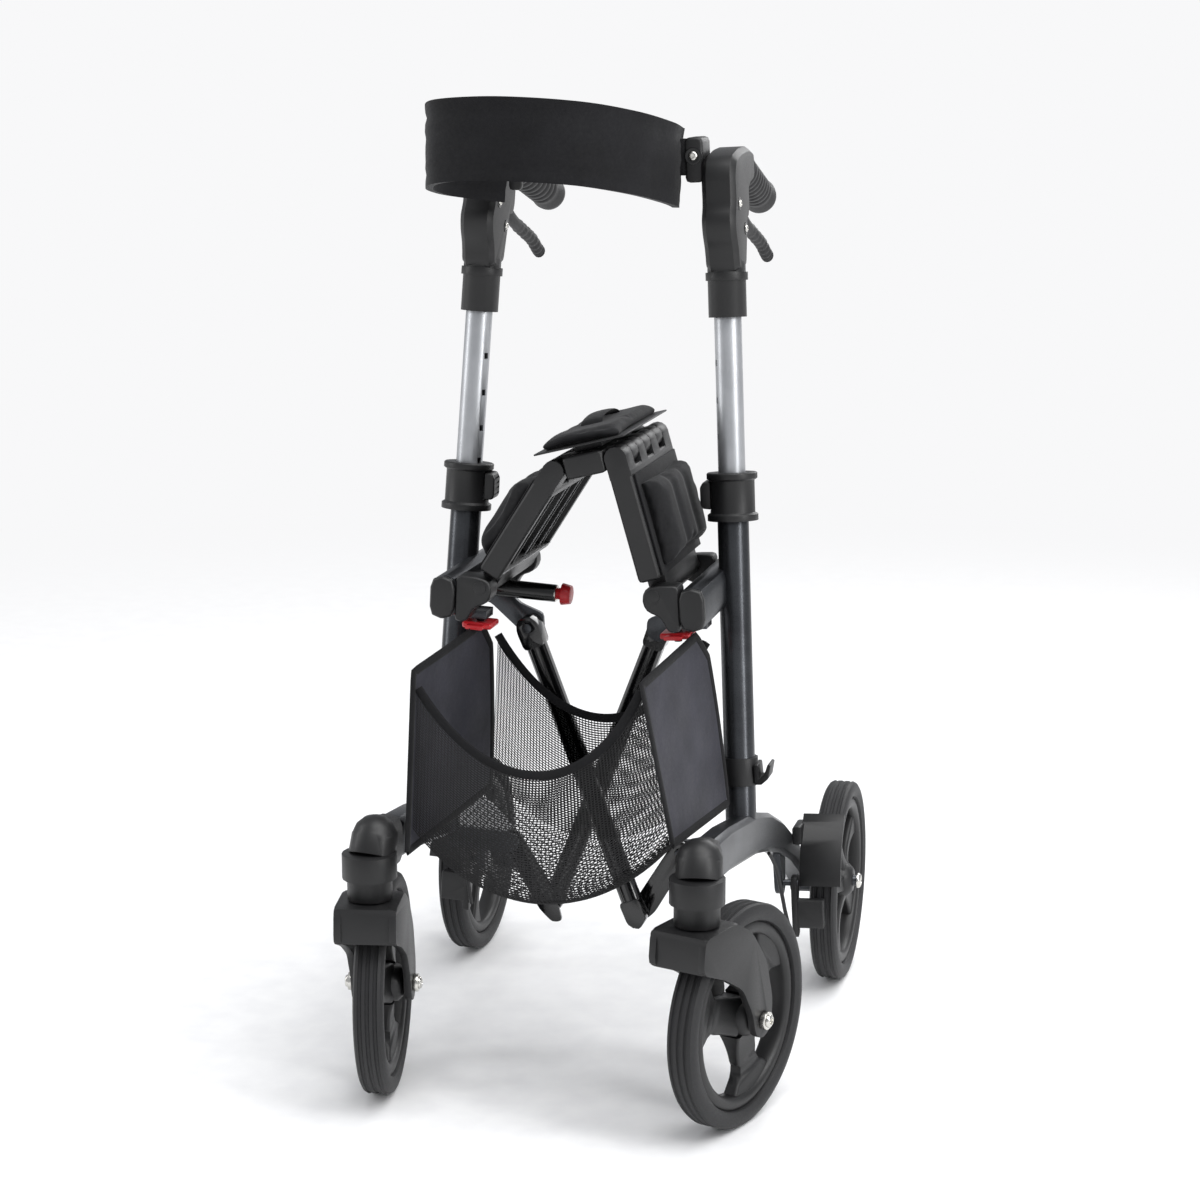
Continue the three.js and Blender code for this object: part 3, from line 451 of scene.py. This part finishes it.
for side_name, side in SIDES:
    for end in ("front", "rear"):
        body = f"{side_name}_{end}_wheel_body"
        tyre(f"{side_name}_{end}_tyre", f"{side_name}_{end}_roll", body)
    for end in ("front", "rear"):
        body = f"{side_name}_{end}_wheel_body"
        wheel(f"{side_name}_{end}_wheel", f"{side_name}_{end}_roll", body, WHEELS[end])
    axle = at_joint(f"{side_name}_front_roll")
    for way in (1, -1):
        out = axle.to_3x3() @ Vector((way, 0, 0))
        face = "outer" if way == side else "inner"
        at = axle.translation + out * FRONT_BOLT_AT
        button_bolt(f"{side_name}_front_axle_bolt_{face}", at, out, 0.0062, f"{side_name}_caster_body")
    rear = at_joint(f"{side_name}_rear_roll")
    button_bolt(f"{side_name}_rear_axle_bolt", rear.translation + Vector((side * REAR_BOLT_AT, 0, 0)),
                (side, 0, 0), 0.0085, f"{side_name}_frame")


# ---- handles ---------------------------------------------------------------------------------------
GRIP_FROM = Vector((-0.002, 0.150, 0.905))
GRIP_TO = Vector((-0.007, 0.291, 0.866))


def hand_grip(side_name, side):
    """Ribbed rubber grip over the handle's stub, swollen at both ends."""
    place = leaning(side)
    a, b = place @ GRIP_FROM, place @ GRIP_TO
    turn = Vector((1, 0, 0)).rotation_difference((b - a).normalized()).to_matrix().to_4x4()
    length = (b - a).length
    profile = [(0.002, 0.0104), (0.0022, 0.0172), (0.004, 0.0182), (0.007, 0.018), (0.010, 0.0160)]
    ribs = 8
    for k in range(ribs):
        x = 0.016 + k * (length - 0.044) / ribs
        profile += [(x, 0.0150), (x + 0.003, 0.0172), (x + 0.009, 0.0174), (x + 0.012, 0.0152)]
    profile += [(length - 0.020, 0.0160), (length - 0.010, 0.0185), (length - 0.004, 0.0180),
                (length - 0.0008, 0.0140), (length, 0.009), (length, 0.0)]
    bm = turned(bmesh.new(), profile, Matrix.Translation(a) @ turn, 48)
    return piece(f"{side_name}_grip_ribbed", bm, GRIP, f"{side_name}_handle",
                 (f"{side_name}_handle_grip",), 50)


LEVER_LINE = ((0.118, 0.868), (0.140, 0.860), (0.172, 0.845), (0.212, 0.832), (0.247, 0.821), (0.272, 0.809),
              (0.284, 0.804))


def lever_rod(side_name, side):
    """Brake lever: a slim rod along the grip, with finger ribs over its free half."""
    place = leaning(side)
    points = [place @ Vector((0, y, z)) for y, z in LEVER_LINE]
    count = 70
    path = curve_through(points, count)

    def section_point(a):
        def offset(i):
            f = i / (count - 1)
            rib = 1 + 0.13 * math.sin(2 * math.pi * 9 * (f - 0.4) / 0.6) * (f > 0.42)
            end = min(1, math.sqrt(max(0.0, (1 - f) / 0.04)) + 0.25, 0.72 + 2.6 * f)
            return 0.0066 * rib * end * math.cos(a), 0.0060 * rib * end * math.sin(a)
        return offset
    section = [section_point(2 * math.pi * k / 16) for k in range(16)]
    bm = sweep(bmesh.new(), path, section, lambda i: Vector((0, 0, 1)))
    return piece(f"{side_name}_lever_ribbed", bm, GRIP, f"{side_name}_brake_lever_body",
                 (f"{side_name}_brake_lever",), 60)


HEAD_BOLTS = ((0.062, 0.872), (0.088, 0.846))
HEAD_HALF = 0.0171


def recessed_bolt(name, at, outward, radius, body):
    """Countersunk seat with a hexagon-socket bolt in it, on a flat face."""
    turn = Vector((1, 0, 0)).rotation_difference(Vector(outward).normalized()).to_matrix().to_4x4()
    place = Matrix.Translation(at) @ turn
    profile = [(-0.0005, radius * 1.8), (0.0004, radius * 1.75), (0.0006, radius * 1.55),
               (0.0001, radius * 1.1), (0.0001, 0)]
    cup = turned(bmesh.new(), profile, place, 40)
    piece(name + "_seat", cup, GLOSS_NYLON, body, sharp=40)
    return button_bolt(name, at + Vector(outward).normalized() * 0.0002, outward, radius, body)


for side_name, side in SIDES:
    hand_grip(side_name, side)
    lever_rod(side_name, side)
    place = leaning(side)
    handle = f"{side_name}_handle"
    for way, turn in (("outer", 1), ("inner", -1)):
        out = place.to_3x3() @ Vector((turn, 0, 0))
        for k, (y, z) in enumerate(HEAD_BOLTS):
            at = place @ Vector((turn * HEAD_HALF, y, z))
            recessed_bolt(f"{side_name}_head_bolt_{way}_{k}", at, out, 0.0036, handle)
    forward = place.to_3x3() @ Vector((0, -1, 0))
    bracket_face = place @ Vector((-0.027, 0.0598, 0.920))
    recessed_bolt(f"{side_name}_bracket_bolt", bracket_face, forward, 0.0048, handle)


def plunger_details():
    """Silver collar on the mouth of the plunger's barrel."""
    place = leaning(-1)
    at = place @ Vector((-0.1055, 0.022, 0.487))
    inward = place.to_3x3() @ Vector((-1, 0, 0))
    turn = Vector((1, 0, 0)).rotation_difference(inward).to_matrix().to_4x4()
    profile = [(0, 0.0062), (0, 0.0088), (0.0012, 0.0088), (0.0016, 0.0080), (0.0016, 0.0062), (0, 0.0062)]
    bm = turned(bmesh.new(), profile, Matrix.Translation(at) @ turn, 40)
    piece("plunger_collar", bm, ZINC, "left_frame", sharp=35)


plunger_details()


# ---- soft goods ------------------------------------------------------------------------------------
BAND_PATH = [(77, 66), (73, 30), (51, -30), (8, -82), (-60, -104), (-118, -88), (-143, -50), (-142, -12),
             (-126, 16), (-92, 44)]
BAND_HEIGHT = 0.078
BAND_BOTTOM = 0.883
BAND_SLOPE = 0.197


def backrest_band():
    """Padded band: hems along both edges, soft between them, hung as an open loop in front of the handles."""
    points = curve_through([Vector((x * MM, y * MM, 0)) for x, y in BAND_PATH], 90)
    rise = BAND_BOTTOM + BAND_HEIGHT / 2
    path = [p + Vector((0, 0, rise - (p.y + 0.020) * BAND_SLOPE)) + ORIGIN for p in points]
    half = BAND_HEIGHT / 2
    section = []
    for k in range(40):
        a = 2 * math.pi * k / 40
        high = half * max(-1, min(1, 1.16 * math.sin(a)))
        hem = math.exp(-((abs(high) - half + 0.013) / 0.0022) ** 2)
        thick = 0.0036 * (1 if math.cos(a) > 0 else -1) * min(1, abs(math.cos(a)) * 2.2) ** 0.6

        def offset(i, high=high, thick=thick, hem=hem):
            ripple = noise.noise(Vector((path[i].x * 9, path[i].y * 9, high * 90))) * 0.0014
            return high, thick * (1 - 0.28 * hem) + ripple
        section.append(offset)
    bm = sweep(bmesh.new(), path, section, lambda i: Vector((0, 0, 1)))
    obj = piece("backrest_band_cover", bm, BAND_CLOTH, "right_handle", ("backrest_band",), 60,
                ride=False)
    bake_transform(obj)
    return obj


backrest_band()
strip = bmesh.new()
block(strip, (0.0735, 0.0610, 0.898), (0.0855, 0.0655, 0.934), Matrix.Translation(ORIGIN), 0.0012, 2)
piece("band_strap", strip, TAPE, "right_handle", sharp=40)

SIDE_SHEET = {
    1: lambda y, z: 0.093 + 0.2 * (y + 0.165) - (0.2 - 0.539 * (y + 0.165)) * (z - 0.453),
    -1: lambda y, z: -0.128 + 0.2 * (y + 0.165) + 0.05 * (z - 0.440),
}
FRONT, BACK = -0.165, 0.002
TOP, TOP_FRONT = 0.456, 0.436
LOW_FRONT = {1: 0.284, -1: 0.257}
LOW_BACK = 0.280


def side_point(side, s, t):
    """Point of a basket side: s from front to back, t from its lower to its upper edge."""
    y = FRONT + (BACK - FRONT) * s
    low = LOW_FRONT[side] + (LOW_BACK - LOW_FRONT[side]) * s
    top = TOP_FRONT + (TOP - TOP_FRONT) * min(1, s / 0.84) - 0.16 * max(0, s - 0.84)
    z = low + (top - low) * t
    y -= 0.012 * s ** 3 * t ** 2
    return Vector((SIDE_SHEET[side](y, z), y, z)) + ORIGIN


def tape(name, path, body, width=0.009, thick=0.003, up=None, joined=None):
    """Binding tape folded over an edge, along a path."""
    bm = sweep(bmesh.new(), path, ring_section(width / 2, thick / 2, 12), up or (lambda i: Vector((0, 0, 1))))
    obj = piece(name, bm, TAPE, body, sharp=60, ride=joined is None)
    if joined:
        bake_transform(obj)
    return obj


def basket_side(side_name, side, body):
    bm = bmesh.new()
    n, m = 30, 34
    for v in bmesh.ops.create_grid(bm, x_segments=n, y_segments=m, size=1.0)["verts"]:
        s, t = (v.co.x + 1) / 2, (v.co.y + 1) / 2
        p = side_point(side, s, t)
        slack = math.sin(math.pi * s) * math.sin(math.pi * t)
        p.x += 0.0010 * slack * noise.noise(p * 22 + Vector((side * 3, 0, 0))) * 2
        v.co = p
    obj = piece(f"{side_name}_basket_cloth", bm, SIDE_CLOTH, body,
                (f"{side_name}_basket_side",), 60)
    wall = obj.modifiers.new("wall", "SOLIDIFY")
    wall.thickness = 0.0016
    wall.offset = 0
    steps = [k / 24 for k in range(1, 25)]
    edge = [side_point(side, f, 0) for f in [0.0] + steps] + [side_point(side, 1, f) for f in steps]
    edge += [side_point(side, 1 - f, 1) for f in steps] + [side_point(side, 0, 1 - f) for f in steps]
    middle = side_point(side, 0.5, 0.5)
    binding = tape(f"{side_name}_basket_binding", edge, body, 0.010, 0.0034, lambda i: middle - edge[i])
    width = (side_point(side, 1, 0.5) - side_point(side, 0, 0.5)).length
    return obj


basket_side("right", 1, "right_frame")
basket_side("left", -1, "basket_tie")


def trough_point(s, t):
    """The net trough: s from the left side to the right, t down the front, under and up the back."""
    sag = 4 * s * (1 - s)
    mix = lambda a, b, f: a + (b - a) * f
    rim_front = mix(0.420, 0.430, s) - 0.084 * sag
    rim_back = mix(0.440, 0.444, s) - 0.082 * sag
    belly = mix(0.257, 0.280, s) - 0.070 * sag
    bulge = 0.010 * sag
    if t < 0.4:
        y = FRONT + 0.003 - bulge * math.sin(t / 0.4 * math.pi / 2)
        z = mix(rim_front, belly + 0.022, t / 0.4)
    elif t < 0.6:
        a = (t - 0.4) / 0.2
        y = mix(FRONT + 0.003 - bulge, BACK - 0.004, a)
        z = belly + 0.022 - 0.022 * math.sin(a * math.pi) ** 0.6 + 0.014 * a
    else:
        y = BACK - 0.004
        z = mix(belly + 0.036, rim_back, (t - 0.6) / 0.4)
    left = SIDE_SHEET[-1](y, z) + 0.0035
    right = SIDE_SHEET[1](y, z) - 0.0035
    return Vector((mix(left, right, s), y, z)) + ORIGIN


def basket_net():
    """Net of real cord: a fine grid on the trough, its faces opened into meshes."""
    across = 72
    down = 130
    bm = bmesh.new()
    for v in bmesh.ops.create_grid(bm, x_segments=across, y_segments=down, size=1.0)["verts"]:
        s, t = (v.co.x + 1) / 2, (v.co.y + 1) / 2
        p = trough_point(s, t)
        v.co = p + Vector((0, 0, 1)) * noise.noise(p * 18) * 0.002
    bmesh.ops.wireframe(bm, faces=bm.faces, thickness=0.0013, offset=0, use_replace=True, use_boundary=True,
                        use_even_offset=False, use_relative_offset=False, use_crease=False, material_offset=0)
    obj = piece("basket_net", bm, NET, "right_frame", ("basket_mesh",), 60, ride=False)
    stretch = ("right_frame", "basket_tie", trough_point(0.97, 0.5), trough_point(0.03, 0.5))
    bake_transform(obj)
    for name, t in (("front", 0.0), ("back", 1.0)):
        path = [trough_point(k / 48, t) for k in range(49)]
        tape(f"net_{name}_binding", path, None, 0.009, 0.003, lambda i: Vector((0, 0, 1)),
                             stretch)
    return obj


basket_net()


# ---- seat ------------------------------------------------------------------------------------------
def seat_place(joint, toward):
    """Seat piece's own axes: local X from its hinge towards the next one, Z its upper face."""
    start = Vector(JOINTS[joint]["pos_m"])
    end = Vector(JOINTS[toward]["pos_m"])
    along = (end - start).normalized()
    up = Vector((along.z, 0, -along.x))
    if up.z < 0:
        up = -up
    return Matrix.Translation((start.x, ORIGIN.y, start.z)) @ Matrix((
        (along.x, 0, up.x, 0), (0, 1, 0, 0), (along.z, 0, up.z, 0), (0, 0, 0, 1)))


# Outer and inner hinge of each seat panel.
PANEL_JOINTS = {"right": ("seat_fold", "seat_centre_turn"), "left": ("left_frame_turn", "seat_left_turn")}


def swell(obj, base, cap, pressure=4.0):
    """Blows a cover up like its foam does: cloth under pressure, held to cap and above its base plane."""
    scene = bpy.context.scene
    remesh = obj.modifiers.new("even", "REMESH")
    remesh.mode = "VOXEL"
    remesh.voxel_size = 0.0045
    deps = bpy.context.evaluated_depsgraph_get()
    even = bpy.data.meshes.new_from_object(obj.evaluated_get(deps))
    obj.modifiers.clear()
    obj.data = even
    rest = [v.co.copy() for v in even.vertices]
    cloth = obj.modifiers.new("cloth", "CLOTH")
    cloth.settings.quality = 5
    cloth.settings.mass = 0.3
    cloth.settings.use_pressure = True
    cloth.settings.uniform_pressure_force = pressure
    cloth.settings.effector_weights.gravity = 0
    cloth.point_cache.frame_start = 1
    cloth.point_cache.frame_end = 20
    for step in range(1, 21):
        scene.frame_set(step)
    blown = obj.evaluated_get(bpy.context.evaluated_depsgraph_get()).to_mesh()
    moved = [v.co.copy() for v in blown.vertices]
    obj.modifiers.clear()
    scene.frame_set(1)
    for v, start, end in zip(obj.data.vertices, rest, moved):
        shift = end - start
        if shift.length > cap:
            shift = shift.normalized() * cap
        v.co = start + shift
    origin, normal = base
    for v in obj.data.vertices:
        under = (v.co - origin).dot(normal)
        if under < 0:
            v.co -= normal * under
    for face in obj.data.polygons:
        face.use_smooth = True
    soft = obj.modifiers.new("soft", "SUBSURF")
    soft.levels = soft.render_levels = 1


def cushion(side_name):
    """Seat cushion: a bevelled foam block under a stretched cover, flat where it is glued to its panel."""
    joints = PANEL_JOINTS[side_name]
    place = seat_place(*joints)
    bm = bmesh.new()
    low, high = Vector((0.021, -0.066, 0.0115)), Vector((0.114, 0.094, 0.0275))
    made = bmesh.ops.create_cube(bm, size=1.0)["verts"]
    for v in made:
        inset = 0.010 if v.co.z > 0 else 0.0
        v.co = Vector([low[k] + (high[k] - low[k]) * (v.co[k] + 0.5) for k in range(3)])
        v.co.x += inset if v.co.x < 0.06 else -inset
        v.co.y += inset if v.co.y < 0 else -inset
    bmesh.ops.bevel(bm, geom=list(bm.edges), offset=0.003, offset_type="OFFSET", segments=2, affect="EDGES",
                    profile=0.5, material=-1)
    bmesh.ops.transform(bm, matrix=place, verts=bm.verts)
    obj = piece(f"{side_name}_cushion_cover", bm, SEAT_CLOTH, f"{side_name}_seat",
                (f"{side_name}_seat_cushion",), 60)
    swell(obj, (place @ Vector((0, 0, 0.0114)), place.to_3x3() @ Vector((0, 0, 1))), 0.005)
    flange = bmesh.new()
    block(flange, (0.0165, -0.0715, 0.0113), (0.1185, 0.0995, 0.0134), place, 0.0008, 2)
    piece(f"{side_name}_cushion_seam", flange, TAPE, f"{side_name}_seat", sharp=40)
    return obj


def painted_rib_highlights(side_name):
    """Painted highlights: thin pale strips along the lower edges of the ribs under a seat panel, and of its
    front and lower frame, standing in for light catching those edges.
    """
    joints = PANEL_JOINTS[side_name]
    place = seat_place(*joints)
    bm = bmesh.new()
    # Each strip is a painted highlight on an edge: a pale sliver under each rib and along the panel's front
    # edge.
    for y in (-0.054, 0.008, 0.061):
        block(bm, (0.024, y - 0.0006, -0.0086), (0.112, y + 0.0006, -0.0078), place)
    block(bm, (0.0235, -0.074, -0.0118), (0.0245, 0.100, -0.0112), place)
    piece(f"{side_name}_painted_rib_highlights", bm, PAINTED_HIGHLIGHT_GREY, f"{side_name}_seat")


def channels(side_name, joints):
    """Two soft sewn channels along a cushion, pressed into its cover."""
    obj = bpy.data.objects[f"{side_name}_cushion_cover"]
    to_seat = seat_place(*joints).inverted()
    normal = seat_place(*joints).to_3x3() @ Vector((0, 0, 1))
    for v in obj.data.vertices:
        local = to_seat @ v.co
        if local.z > 0.020:
            dip = sum(math.exp(-((local.y - y) / 0.008) ** 2) for y in (-0.010, 0.040))
            v.co -= normal * 0.0030 * dip * min(1, (local.z - 0.020) / 0.005)


for side_name, _ in SIDES:
    cushion(side_name)
    channels(side_name, PANEL_JOINTS[side_name])
    painted_rib_highlights(side_name)


LOOP_LINE = ((-0.018, 0.030), (-0.012, 0.0355), (0.010, 0.0385), (0.034, 0.0385), (0.052, 0.0355),
             (0.058, 0.030))


def centre_pad():
    """Pad over the middle of the seat, with its thin flange, foot and pull loop."""
    place = seat_place("seat_centre_turn", "seat_left_turn")
    width = 0.064
    base = 0.019
    bm = bmesh.new()
    middle = width / 2
    block(bm, (middle - 0.041, -0.075, base + 0.001), (middle + 0.041, 0.101, base + 0.0095), place, 0.004, 3)
    obj = piece("centre_pad_cover", bm, SEAT_CLOTH, "seat_middle", ("centre_pad",), 60)
    swell(obj, (place @ Vector((0, 0, base + 0.001)), place.to_3x3() @ Vector((0, 0, 1))), 0.004)
    rim = bmesh.new()
    block(rim, (middle - 0.046, -0.080, base), (middle + 0.046, 0.106, base + 0.0018), place, 0.0008, 2)
    block(rim, (middle - 0.014, -0.048, 0.0113), (middle + 0.014, 0.074, base + 0.001), place, 0.001, 2)
    piece("centre_pad_base", rim, NYLON, "seat_middle", sharp=40)
    loop = bmesh.new()
    path = curve_through([place @ Vector((middle, y, z)) for y, z in LOOP_LINE], 30)
    across = place.to_3x3() @ Vector((1, 0, 0))
    sweep(loop, path, ring_section(0.011, 0.0016, 12), lambda i: across)
    piece("seat_pull_loop", loop, TAPE, "seat_middle", sharp=60)
    return obj


centre_pad()

# ---- studio ----------------------------------------------------------------------------------------
BACKDROP = "f8f8f9"
floor_material = material("pale_floor", "e9e9ea", "f2f2f2", 0.55, grain=30, bump=0.0)
floor_mesh = bpy.data.meshes.new("floor")
floor_bm = bmesh.new()
bmesh.ops.create_grid(floor_bm, x_segments=2, y_segments=2, size=60.0)
bmesh.ops.transform(floor_bm, matrix=Matrix.Translation((0, 0, -0.0005)), verts=floor_bm.verts)
floor_bm.to_mesh(floor_mesh)
floor_bm.free()
floor = bpy.data.objects.new("floor", floor_mesh)
floor_mesh.materials.append(floor_material)
bpy.context.scene.collection.objects.link(floor)
# The floor turns into the white of the backdrop between 0.7 and 3.2 m from the middle.
floor_tree = floor_material.node_tree
parts = {n.type: n for n in floor_tree.nodes}
reach = node(floor_tree, "ShaderNodeVectorMath", {"operation": "LENGTH"},
             {0: parts["TEX_COORD"].outputs["Object"]})
fade = node(floor_tree, "ShaderNodeMapRange", {"interpolation_type": "SMOOTHSTEP"},
            {"Value": reach.outputs["Value"], "From Min": 0.7, "From Max": 3.2})
glow = node(floor_tree, "ShaderNodeEmission", None, {"Color": linear(BACKDROP), "Strength": 1.0})
spread = node(floor_tree, "ShaderNodeMixShader", None,
              {0: fade.outputs[0], 1: parts["BSDF_PRINCIPLED"].outputs[0], 2: glow.outputs[0]})
floor_tree.links.new(spread.outputs[0], parts["OUTPUT_MATERIAL"].inputs["Surface"])

world = bpy.data.worlds.new("studio")
world.use_nodes = True
seen = node(world.node_tree, "ShaderNodeLightPath")
white = node(world.node_tree, "ShaderNodeBackground", None, {"Color": linear(BACKDROP), "Strength": 1.0})
fill = node(world.node_tree, "ShaderNodeBackground", None, {"Color": linear("f2f4f8"), "Strength": 0.55})
pick = node(world.node_tree, "ShaderNodeMixShader", None,
            {0: seen.outputs["Is Camera Ray"], 1: fill.outputs[0], 2: white.outputs[0]})
world_out = next(n for n in world.node_tree.nodes if n.type == "OUTPUT_WORLD")
world.node_tree.links.new(pick.outputs[0], world_out.inputs["Surface"])
bpy.context.scene.world = world
bpy.context.scene.view_settings.view_transform = "Standard"

sun_data = bpy.data.lights.new("overhead_diffuser", "SUN")
sun_data.angle = math.radians(50)
sun_data.energy = 2.2
sun = bpy.data.objects.new("overhead_diffuser", sun_data)
sun.rotation_euler = (math.radians(12), math.radians(18), 0)
bpy.context.scene.collection.objects.link(sun)


def softbox(name, at, aim, size, power):
    data = bpy.data.lights.new(name, "AREA")
    data.shape = "RECTANGLE"
    data.size, data.size_y = size
    data.energy = power
    lamp = bpy.data.objects.new(name, data)
    lamp.location = at
    lamp.rotation_euler = (Vector(aim) - Vector(at)).to_track_quat("-Z", "Y").to_euler()
    bpy.context.scene.collection.objects.link(lamp)


softbox("right_softbox", (2.2, -1.0, 1.5), (0, 0, 0.5), (0.5, 2.2), 30)
softbox("left_softbox", (-2.2, -0.6, 1.4), (0, 0, 0.5), (0.5, 2.0), 16)
softbox("rear_softbox", (0.8, 2.4, 1.8), (0, 0, 0.5), (1.2, 1.6), 22)
